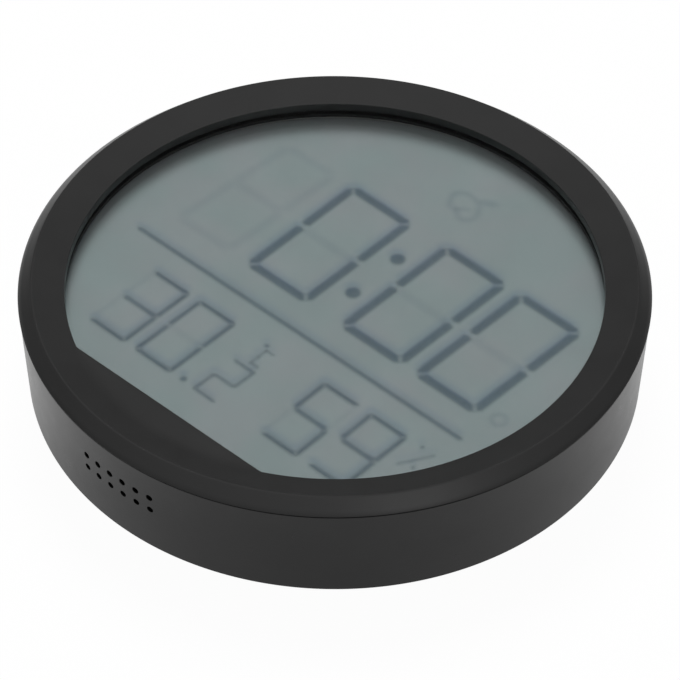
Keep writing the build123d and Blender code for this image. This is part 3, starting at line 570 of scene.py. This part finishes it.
# ---- Lens, frame and display ----
def disc(name, radius, low, high, material, stands_for, flat=None, bevel=0.08):
    """A disc with its edges broken by the bevel. If there is a flat, it is cut straight at that y."""
    steps = STEPS // 2

    def outline(grow):
        out = []
        for i in range(steps):
            a = math.tau * i / steps
            x, y = (radius + grow) * math.cos(a), (radius + grow) * math.sin(a)
            out.append((x, max(y, flat - grow) if flat is not None else y))
        return out

    sections = layers(outline, (low, -bevel), (low + bevel, 0), (high - bevel, 0), (high, -bevel))
    dress(Shape().prism(sections).object(name), material, "case", 30, stands_for)


def boss_limit(angle, limit, clearance):
    """Outer radius in a direction, drawn in where a boss stands."""
    reach, nearby = BOSS + clearance, 0.2
    for x, y in CASE_BOSSES + HOLDER_BOSSES:
        off = (angle - math.atan2(y, x) + math.pi) % math.tau - math.pi
        side = BOSS_CIRCLE * math.sin(off)
        if abs(off) < nearby and abs(side) < reach:
            limit = min(limit, BOSS_CIRCLE * math.cos(off) - math.sqrt(reach * reach - side * side))
    return limit


def rings_below():
    """The dark frame between display and lens, and the tape that holds the lens and closes off its edge."""
    inset = 0.3  # from the window's edge
    chord_half = 27  # in degrees
    frame_reach, tape_inner, tape_outer, tape_foot = 67.85, 66.82, 66.98, 22.42
    frame_columns, tape_columns = [], []
    for angle in ring_angles():
        inner, inside = window_edge(angle)
        wide = inner + (inset / math.cos(math.radians(chord_half - inside)) if inside > 0 else inset)
        tape_edge = wide - 0.1
        reach = boss_limit(angle, frame_reach, clearance=0.3)
        wall = [(wide, FRAME_BOTTOM), (reach, FRAME_BOTTOM), (reach, PANE_BOTTOM), (wide, PANE_BOTTOM)]
        frame_columns.append((angle, wall))
        tape = [
            (tape_edge, PANE_TOP), (tape_inner, PANE_TOP), (tape_inner, tape_foot),
            (tape_outer, tape_foot), (tape_outer, LANDING_Z), (tape_edge, LANDING_Z),
        ]
        tape_columns.append((angle, tape))
    dress(
        Shape().ring(frame_columns).object("inner_frame"), inner_black, "case", 25,
        ["display_frame"],
    )
    dress(Shape().ring(tape_columns).object("lens_tape"), adhesive, "case", 25, ["lens_adhesive"])


def lens():
    """The clear lens. It keeps clear of the frame and the tape, so that no two faces coincide."""
    radius, gap = 66.8, 0.03
    disc("front_pane", radius, PANE_BOTTOM + gap, PANE_TOP - gap, lens_clear, ["front_lens"])


PLAIN_END = (0.0, 0.0, 1.0)  # of a stroke: no gap, its tip in the middle, and cut at 45 degrees


def bar(a, b, width, first=PLAIN_END, last=PLAIN_END):
    """Outline of a straight stroke from a to b with pointed ends, listed anticlockwise. Each end has its gap,
    how far its tip is moved along the mitre to the left of the stroke, and how steeply it is cut."""
    a, b = Vector(a), Vector(b)
    along = (b - a).normalized()
    left, half = Vector((-along.y, along.x)), width / 2

    def end(point, inwards, gap, tip, slant):
        """The end's right corner, tip and left corner."""
        return [
            point + inwards * (gap + slant * (half + min(0.0, 2 * tip))) - left * half,
            point + inwards * (gap - abs(tip)) + left * tip,
            point + inwards * (gap + slant * (half - max(0.0, 2 * tip))) + left * half,
        ]

    return end(b, -along, *last) + end(a, along, *first)[::-1]


def stroke(a, b, width, layer=0):
    """A figure of the display: an outline, its width and its layer, in which no neighbour lies."""
    return bar(a, b, width), width, layer


def dot(x, y, radius):
    return [Vector(p) for p in circle(x, y, radius, 28)], 2 * radius, 0


def loop(corners, width):
    """A closed line of short strokes through an even number of corners."""
    return [stroke(p, q, width, i % 2) for i, (p, q) in enumerate(zip(corners, corners[1:] + corners[:1]))]


def digit(corners, lit, width, gap, middle, tip):
    """Lit strokes of a seven segment figure with these corners: top left and right, bottom left and right.
    The gaps are those at a corner and at the middle, and tip is how far a corner's tips are moved."""
    tl, tr, bl, br = (Vector(c) for c in corners)
    ml, mr = (tl + bl) / 2, (tr + br) / 2
    left, right, blunt, point = (gap, tip, 1.0), (gap, -tip, 1.0), (middle, 0.0, 0.5), (gap, 0.0, 1.0)
    strokes = {
        "a": (tl, tr, 0, left, left), "f": (tl, ml, 2, right, blunt), "b": (tr, mr, 1, left, blunt),
        "g": (ml, mr, 0, point, point), "e": (ml, bl, 1, blunt, right), "c": (mr, br, 2, blunt, left),
        "d": (bl, br, 0, right, right),
    }
    chosen = [strokes[k] for k in lit]
    return [(bar(p, q, width, first, last), width, layer) for p, q, layer, first, last in chosen]


def grown(outline, grow):
    """A convex outline, listed anticlockwise, with every edge moved outwards."""
    out = []
    for before, here, after in zip(outline[-1:] + outline[:-1], outline, outline[1:] + outline[:1]):
        first, second = (here - before).normalized(), (after - here).normalized()
        normals = Vector((first.y, -first.x)), Vector((second.y, -second.x))
        out.append(here + (normals[0] + normals[1]) * grow / (1 + normals[0].dot(normals[1])))
    return out


def films(name, figures, spread, low, material, shift=(0.0, 0.0)):
    """Thin plates in the display's own frame, which is turned slightly in the case. Each has points in steps
    across its edge, and their depth is that of an edge blurred by spread, the unit of the steps."""
    outer_steps, inner_steps = (1.9, 1.1, 0.5, 0.0), (-0.5, -1.1, -1.9)
    thickness, layer_height = 0.012, 0.02
    within = 0.46  # share of the width that the inner steps may reach
    innermost = 0.47  # and where the last one lies if one of them would reach further
    shape, depths = Shape(), []
    spin = Matrix.Rotation(math.radians(DISPLAY_TURN), 2)
    root = math.sqrt(2)
    for outline, width, layer in figures:
        inner = [g for g in inner_steps if -g * spread < within * width]
        if len(inner) < len(inner_steps):
            inner.append(-innermost * width / spread)
        base = low + layer_height * layer
        sections = [(base, outer_steps[0]), *((base + thickness, g) for g in (*outer_steps, *inner))]
        made = []
        for number, (z, g) in enumerate(sections):
            points = [spin @ (p + Vector(shift)) for p in grown(outline, g * spread)]
            made.append((z, [(p.x, p.y) for p in points]))
            depth = 0.5 * (math.erf(-g / root) + math.erf((width / spread + g) / root))
            depths += [0.0 if number < 2 else depth] * len(outline)
        shape.prism(made)
    plates = shape.object(name)
    plates.data.attributes.new(DEPTH, "FLOAT", "POINT").data.foreach_set("value", depths)
    dress(plates, material, "case", 20)


def display():
    # Width, gap at a corner, gap at the middle and move of the tips
    big, small, tiny = (2.4, 0.5, 0.52, 0.37), (1.3, 0.24, 0.3, 0.2), (0.8, 0.15, 0.2, 0.1)
    hours = [(-22.39, 31.21), (-3.33, 30.67), (-22.12, -6.43), (-3.57, -6.51)]
    tens = [(9.8, 30.37), (28.13, 29.84), (9.3, -6.57), (27.24, -6.7)]
    ones = [(34.1, 29.74), (51.96, 29.3), (33.02, -6.7), (50.46, -6.8)]
    leading = [(-45.48, 31.76), (-29.48, 31.46), (-46.98, -6.24), (-29.88, -6.34)]
    warm_tens = [(-37.42, -24.47), (-26.17, -24.47), (-37.17, -46.18), (-26, -46.18)]
    warm_ones = [(-22, -24.39), (-10.71, -24.39), (-21.87, -45.93), (-10.77, -45.93)]
    warm_tenths = [(-2.1, -32.92), (4.2, -32.92), (-2.58, -45.91), (3.95, -45.91)]
    celsius = [(1.37, -25.54), (3.61, -25.54), (1.37, -30.94), (3.61, -30.94)]
    damp_tens = [(18.99, -24.2), (29.46, -24.2), (18.95, -45.18), (29.36, -45.18)]
    damp_ones = [(33.61, -24.14), (44.19, -24.14), (33.55, -44.96), (43.71, -44.96)]
    time = [dot(3.22, 19.39, 1.9), dot(3.1, 3.05, 1.9)]
    for corners in (hours, tens, ones):
        time += digit(corners, "abcdef", *big)
    lit = digit(warm_tens, "abcdg", *small) + digit(warm_ones, "abcdef", *small)
    lit += digit(warm_tenths, "abged", *tiny)
    lit += digit(damp_tens, "afgcd", *small) + digit(damp_ones, "abcdfg", *small)
    # Dividing line, decimal point, degree sign, C and percent sign
    lit += [stroke((-52.1, -15.93), (54.2, -15.92), 1.2), dot(-6.58, -45.53, 0.8)]
    lit += [dot(0.31, -24.34, 0.45), dot(49.05, -23.82, 0.36), dot(51.69, -29.89, 0.34)]
    lit += digit(celsius, "afed", 0.5, 0.05, 0.0, 0.1)
    lit += [stroke((52.8, -23.9), (48.2, -31.55), 0.5, 1)]
    unlit, sag = [], 0.7  # the middle strokes sit a little low
    for corners in (hours, tens, ones):
        unlit += digit([(x, y - sag) for x, y in corners], "g", *big)
    unlit += digit(leading, "abcdefg", *big)
    unlit += digit(warm_tens, "ef", *small) + digit(warm_ones, "g", *small) + digit(damp_tens, "be", *small)
    bell = [
        (-2.5, 47.5), (-1.7, 45.2), (-0.3, 42.6), (1.8, 43.3), (3.5, 41.6), (5.2, 40.9),
        (6.9, 42.0), (7.5, 43.9), (6.7, 46.2), (4.8, 48.3), (1.8, 49.5), (-0.6, 49.5),
    ]
    icons = loop(bell, 1.3)
    icons += [stroke((4.2, 49.0), (9.0, 51.6), 2.2, 2), stroke((1.4, 42.9), (4.4, 45.3), 1.0, 2)]
    icons += loop(circle(56.5, -5.3, 1.9, 8), 0.8)
    painted_shadow_z, lit_z, unlit_z = IMAGE_Z + 0.02, IMAGE_Z + 0.1, IMAGE_Z + 0.18
    films("display_time", time, 0.37, lit_z, lit_film)
    films("display_readings", lit, 0.4, lit_z, lit_film)
    films("display_unlit_figures", unlit, 0.45, unlit_z, unlit_film)
    films("display_unlit_icons", icons, 0.5, unlit_z, icon_film)
    # Painted soft shadow of the lit figures on the reflector: a fixed film, shifted from them
    films("display_painted_shadow", time + lit, 0.65, painted_shadow_z, painted_shadow_film, PAINTED_SHADOW_SHIFT)
    reflector_radius, reflector_flat, glass_radius, glass_flat = 66.0, -58.9, 66.6, -61.8
    cell_gap = 0.3  # between the panel and the cell, for the films
    fine = 0.03  # bevel
    disc(
        "display_reflector", reflector_radius, REFLECTOR_BOTTOM, REFLECTOR_TOP, reflector(),
        ["lcd_reflector"], reflector_flat, fine,
    )
    # The panel's top carries the image, so it wears the reflector's look
    disc(
        "display_panel", glass_radius, REFLECTOR_TOP, IMAGE_Z, reflector(),
        ["lcd_rear_glass"], glass_flat, fine,
    )
    disc(
        "display_cell", glass_radius, IMAGE_Z + cell_gap, FRAME_BOTTOM, cell_glass,
        ["lcd_front_glass", "lcd_front_polariser"], glass_flat,
    )


# ---- Rear case ----
def rear_case():
    foot = 0.3  # radius of the bottom edge
    bottom_edge = [
        (WALL_BASE - foot + foot * math.sin(math.radians(a)), foot - foot * math.cos(math.radians(a)))
        for a in (15, 30, 45, 60, 75, 90)
    ]
    inner_top, inner_base = 74.18, 73.7
    wall = [
        (0, 0), (WALL_BASE - foot, 0), *bottom_edge, (WALL_BASE + 0.17, 9.0), (WALL_BASE + 0.33, 17.4),
        (WALL_TOP - 0.02, CASE_TOP - 0.25), (WALL_TOP - 0.09, CASE_TOP - 0.07), (WALL_TOP - 0.25, CASE_TOP),
        (inner_top, CASE_TOP), (inner_base, PLATE), (0, PLATE),
    ]
    case = Shape().lathe(wall).object("rear_shell")

    # Material added inside: bosses, two steps of the bay, the stand's recess and hinge, hollow and keyhole
    root = PLATE - 1.0
    for x, y in CASE_BOSSES:
        join(case, straight(circle(x, y, BOSS), root, 10.0))
    for y, width, depth, top in (
        (BAY_Y, 56.1, 27.3, 3.2), (BAY_Y, 53.5, 24.7, 14.4),
        (RECESS_Y, 47.8, 52.4, 4.8), (AXIS_Y, 53.8, 9.0, 7.7),
    ):
        join(case, straight(rounded(0, y, width, depth, 0.3), root, top))
    join(case, straight(circle(0, FINGER_Y, 7.9), root, 3.8))
    join(case, straight(rounded(0, KEYHOLE_Y, 11.2, 18.2, 5.6), root, 8.6))

    # Case screws
    for x, y in CASE_BOSSES:
        cut(case, mouth(lambda g: circle(x, y, 2.45 + g), 6.2))
        cut(case, straight(circle(x, y, 1.3, 32), 6.0, 11.0))
    # Battery bay: seat of the door, bay, slots for its hooks, openings for solder tabs, hollow at its latch
    cut(case, mouth(lambda g: rounded(0, BAY_Y, 53.3, 24.5, 2.0, g), 1.9))
    cut(case, straight(rounded(0, BAY_Y, 50.7, 21.9, 0.05), 1.8, 13.0))
    for side in (-HOOK_Y, HOOK_Y):
        cut(case, straight(rounded(-26.75, BAY_Y + side, 2.8, 7.6, 0.05), 0.8, 2.69))
    for y in CELL_YS:
        cut(case, straight(rounded(-26.05, y, 1.6, 2.8, 0.05), CELL_Z - 0.4, CELL_Z + 0.4))
    cut(case, mouth(lambda g: circle(26.65, BAY_Y, 6.0 + g), 1.2))
    # Stand: recess, hinge, bore of the pin, hollow at the free end
    cut(case, mouth(lambda g: rounded(0, RECESS_Y, 45.0, 49.6, 0.3, g), 3.4))
    cut(case, straight(rounded(0, AXIS_Y, 45.0, 6.2, 0.2), 3.0, 6.3))
    cut(case, straight(circle(0, 0, 1.02, 32), -25.5, 25.5), along_x(AXIS_Y, AXIS_Z))
    cut(case, mouth(lambda g: circle(0, FINGER_Y, 6.5 + g), 2.4))
    # Buttons: shallow panel and openings
    cut(case, mouth(lambda g: rounded(0, BUTTON_Y, 49.4, 9.9, 2.2, g), 0.9))
    for x in BUTTON_XS.values():
        cut(case, layers(
            lambda g: rounded(x, BUTTON_Y, 11.6, 6.1, 3.05, g),
            (0.5, 0.15), (0.9, 0.15), (1.05, 0.0), (3.0, 0.0),
        ))
    # Keyhole: entry, slot, and room behind them for the screw's head
    keyhole_depth = 2.6
    cut(case, mouth(lambda g: circle(0, ENTRY_Y, 4.2 + g), keyhole_depth))
    cut(case, mouth(lambda g: rounded(0, KEYHOLE_Y, 4.4, 11.4, 2.2, g), keyhole_depth))
    cut(case, straight(rounded(0, KEYHOLE_Y, 8.4, 15.4, 4.2), PLATE, 7.2))
    # Vents, with a slight countersink
    pitch = math.degrees(VENT_PITCH / WALL_TOP)
    hole = layers(lambda g: circle(0, 0, VENT_RADIUS + g, 40), (72.5, 0.0), (76.12, 0.0), (RIM, 0.35))
    for z in VENT_ZS:
        for i in range(VENT_COLUMNS):
            turn = (i - (VENT_COLUMNS - 1) / 2) * pitch + VENT_TURN
            cut(case, hole, Matrix.Rotation(math.radians(turn - 90), 4, "Z") @ along_x(0, z))
    dress(case, case_black, "case", 28, ["rear_case"], flats=True)


# ---- Pieces of the back ----
def battery_door():
    door = Shape().prism(layers(
        lambda g: rounded(0, BAY_Y, 52.7, 23.9, 1.7, g),
        (0.2, -0.3), (0.24, -0.16), (0.34, -0.05), (0.5, 0), (1.8, 0),
    )).object("bay_door")
    for side in (-HOOK_Y, HOOK_Y):
        join(door, straight(rounded(-26.95, BAY_Y + side, 1.8, 7.0, 0.2), 1.0, 1.8))
    for side in (-LATCH_Y, LATCH_Y):
        cut(door, straight(rounded(23.85, BAY_Y + side, 5.3, 0.8, 0.1), -1.0, 3.0))
    # Grip grooves on the latch
    first_x, pitch = 20.4, 1.25
    for i in range(5):
        x = first_x + pitch * i
        wide, narrow = rounded(x, BAY_Y, 0.9, 6.2, 0.2), rounded(x, BAY_Y, 0.3, 5.6, 0.1)
        cut(door, [(-0.5, wide), (0.2, wide), (0.55, narrow)])
    dress(door, case_black, "door", 28, ["battery_door"], flats=True)


def stand():
    middle, hinge = (AXIS_Y + LEG_END) / 2, along_x(AXIS_Y, AXIS_Z)
    corner = 4

    def outline(g):
        """The plate's outline: square at the barrel, round corners at the free end."""
        w = LEG_HALF + g
        x, y, r = w - corner - g, LEG_END + g - corner - g, corner + g
        return [(-w, AXIS_Y), (w, AXIS_Y)] + arc(x, y, r, 0, 90, 10) + arc(-x, y, r, 90, 180, 10)

    leg = Shape().prism(layers(
        outline, (LEG_BOTTOM, -0.3), (0.66, -0.14), (0.78, -0.03), (0.9, 0),
        (2.6, 0), (2.78, -0.06), (LEG_TOP, -0.3),
    )).object("leg")
    barrel = layers(
        lambda g: circle(0, 0, 2.6 + g, 72), (-LEG_HALF, -0.3), (-21.7, 0), (21.7, 0), (LEG_HALF, -0.3)
    )
    join(leg, barrel, hinge)
    # Window, seat of the foot pad, two grooves and the bore of the pin
    cut(leg, layers(
        lambda g: rounded(0, middle, 22, 18, 4, g),
        (0.3, 0.3), (LEG_BOTTOM, 0.3), (0.9, 0.0), (2.6, 0.0), (LEG_TOP, 0.3), (3.2, 0.3),
    ))
    cut(leg, straight(rounded(0, LEG_END, 30, 4, 0.05), 0.0, 3.5))
    for x in (-16.5, 16.5):
        cut(leg, layers(
            lambda g: rounded(x, middle, 1.6, 26, 0.8, g), (-0.5, 0.25), (LEG_BOTTOM, 0.25), (0.95, -0.2)
        ))
    cut(leg, straight(circle(0, 0, 1.05, 48), -23.0, 23.0), hinge)
    dress(leg, case_black, "stand", 28, ["stand_leg"], flats=True)

    pad = Shape().prism(layers(
        lambda g: rounded(0, -11.875, 29.98, 2.25, 0.2, g),
        (LEG_BOTTOM, -0.15), (0.75, 0.0), (2.75, 0.0), (LEG_TOP, -0.15),
    )).object("foot_pad")
    dress(pad, pad_rubber, "stand", 28, ["stand_foot_pad"], flats=True)


def buttons():
    for name, x in BUTTON_XS.items():
        body = name + "_button"
        shape = Shape().prism(layers(
            lambda g: rounded(x, BUTTON_Y, 11.0, 5.5, 2.75, g, 14),
            (0.3, -0.4), (0.33, -0.25), (0.42, -0.12), (0.55, -0.03), (0.7, 0),
            (2.25, 0), (2.25, 1.2), (3.45, 1.2),
        ))
        shape.prism(straight(circle(x, BUTTON_Y, 1.5, 40), 3.3, 9.8))
        key = shape.object("key_" + name)
        dress(key, button_grey, body, 28, ["button_" + name], flats=True)
        if name == "mode":
            mark = circle(x, BUTTON_Y, 0.75, 28)
        else:
            tip = 1 if name == "up" else -1
            foot = BUTTON_Y - 0.75 * tip
            mark = [(x - 1.15, foot), (x + 1.15, foot), (x, BUTTON_Y + 1.0 * tip)]
        print_low, print_high = 0.292, 0.32
        print_plate = Shape().prism(straight(mark, print_low, print_high)).object("key_mark_" + name)
        dress(print_plate, mark_white, body, 28)


# ---- Stage: world, lamps and floor ----
def make_world(spin):
    """A white background and a dim even light. Glossy rays see a brighter studio around the object."""
    world = bpy.data.worlds.new("studio")
    bpy.context.scene.world = world
    world.use_nodes = True
    sky = Nodes(world.node_tree)
    place = sky.node("ShaderNodeTexCoord").outputs["Generated"]
    rays = sky.node("ShaderNodeLightPath").outputs

    def background(colour, strength):
        return sky.make("ShaderNodeBackground", "Background", {"Color": colour, "Strength": strength})

    def towards(direction):
        """How far a ray points in this direction of the photograph's frame."""
        inputs = {0: place, 1: spin @ Vector(direction)}
        return sky.make("ShaderNodeVectorMath", "Value", inputs, operation="DOT_PRODUCT")

    # Glossy rays see the studio brightest overhead and on the near side, and dimmer towards the far horizon,
    # with a soft patch of light on the near side, to the right of the camera
    level = sky.span(towards((0.0, -0.23, 0.97)), low=0.33, high=1.19)
    patch = sky.span(towards((0.37, -0.68, 0.63)), low=0.0, high=1.1, start=0.94, end=1.0, kind="SMOOTHSTEP")
    mirrored = background(grey(0.8), sky.maths("ADD", level, patch))
    shown = sky.mix(rays["Is Glossy Ray"], background(grey(1.0), 1.0), mirrored)
    # Camera, glossy and transmission rays show the background itself, and the others carry its light
    seen = sky.maths("MAXIMUM", rays["Is Camera Ray"], rays["Is Glossy Ray"])
    seen = sky.maths("MAXIMUM", seen, rays["Is Transmission Ray"])
    lit = background((0.98, 0.99, 1.0), 0.17)
    sky.fill(sky.node("ShaderNodeOutputWorld").inputs["Surface"], sky.mix(seen, lit, shown))


def make_lamps(spin):
    target = Vector((0, 0, 0.02))
    # Name, place and width in metres, power in watts
    for name, place, size, power in (
        ("soft_box_far", (-0.18, 3.3, 3.7), 2.5, 264.0),
        ("soft_box_top", (0.0, 0.35, 1.6), 1.2, 3.2),
    ):
        data = bpy.data.lights.new(name, "AREA")
        data.shape, data.size, data.energy = "DISK", size, power
        lamp = bpy.data.objects.new(name, data)
        bpy.context.scene.collection.objects.link(lamp)
        lamp.visible_glossy = lamp.visible_camera = False
        lamp.location = spin @ Vector(place)
        lamp.rotation_euler = (target - spin @ Vector(place)).to_track_quat("-Z", "Y").to_euler()


def make_floor():
    mesh = bpy.data.meshes.new("floor")
    s = 0.9  # half of its width in metres
    mesh.from_pydata([(-s, -s, 0), (s, -s, 0), (s, s, 0), (-s, s, 0)], [], [(0, 1, 2, 3)])
    floor = bpy.data.objects.new("floor", mesh)
    bpy.context.scene.collection.objects.link(floor)
    paint = Paint("floor_white_card")
    rays = paint.node("ShaderNodeLightPath").outputs
    tone = paint.ramp(paint.noise(scale=30.0), [(0.3, grey(0.86)), (0.7, grey(0.89))])
    card = paint.make("ShaderNodeBsdfDiffuse", "BSDF", {"Color": tone})
    glow = paint.make("ShaderNodeEmission", "Emission", {"Color": grey(1.0), "Strength": 1.0})
    # The camera sees a white card with a faint shadow, and glossy surfaces see more of the shadow
    direct = paint.maths("MAXIMUM", rays["Is Camera Ray"], rays["Is Transmission Ray"])
    white = paint.maths("MULTIPLY", direct, 0.97)
    mirrored = paint.maths("MULTIPLY", rays["Is Glossy Ray"], 0.6)
    seen = paint.mix(paint.maths("MAXIMUM", white, mirrored), card, glow)
    # Glossy surfaces see the card end in a dark room
    reach = paint.make("ShaderNodeVectorMath", "Value", {0: paint.place}, operation="LENGTH")
    fade = paint.span(reach, low=0.0, high=0.75, start=0.09, end=0.26)
    dark = paint.maths("MULTIPLY", rays["Is Glossy Ray"], fade)
    room = paint.make("ShaderNodeBsdfDiffuse", "BSDF", {"Color": grey(0.02)})
    mesh.materials.append(paint.cover(paint.mix(dark, seen, room)))


# ---- Build ----
spin = make_camera()
make_world(spin)
make_lamps(spin)
make_floor()
bpy.context.scene.view_settings.view_transform = "Standard"
bpy.context.scene.cycles.transparent_max_bounces = 32  # the display has many clear layers
bezel()
rings_below()
lens()
display()
rear_case()
battery_door()
stand()
buttons()

# CAD nodes that stay get their materials by the record's slots
finishes = {
    "inner_white": inner_white, "connector_rubber": connector_rubber, "board_green": board(),
    "resin_black": resin_black, "bright_metal": bright_metal, "screw_steel": screw_steel,
    "cell_jacket": cell_jacket(), "lead_red": lead_red, "lead_black": lead_black, "inner_black": inner_black,
}
for part in frame["record"]["subparts"]:
    node = nodes[part["node"]]
    if not node.hide_render:
        node.data.materials.clear()
        node.data.materials.append(finishes[part["material_slot"]])
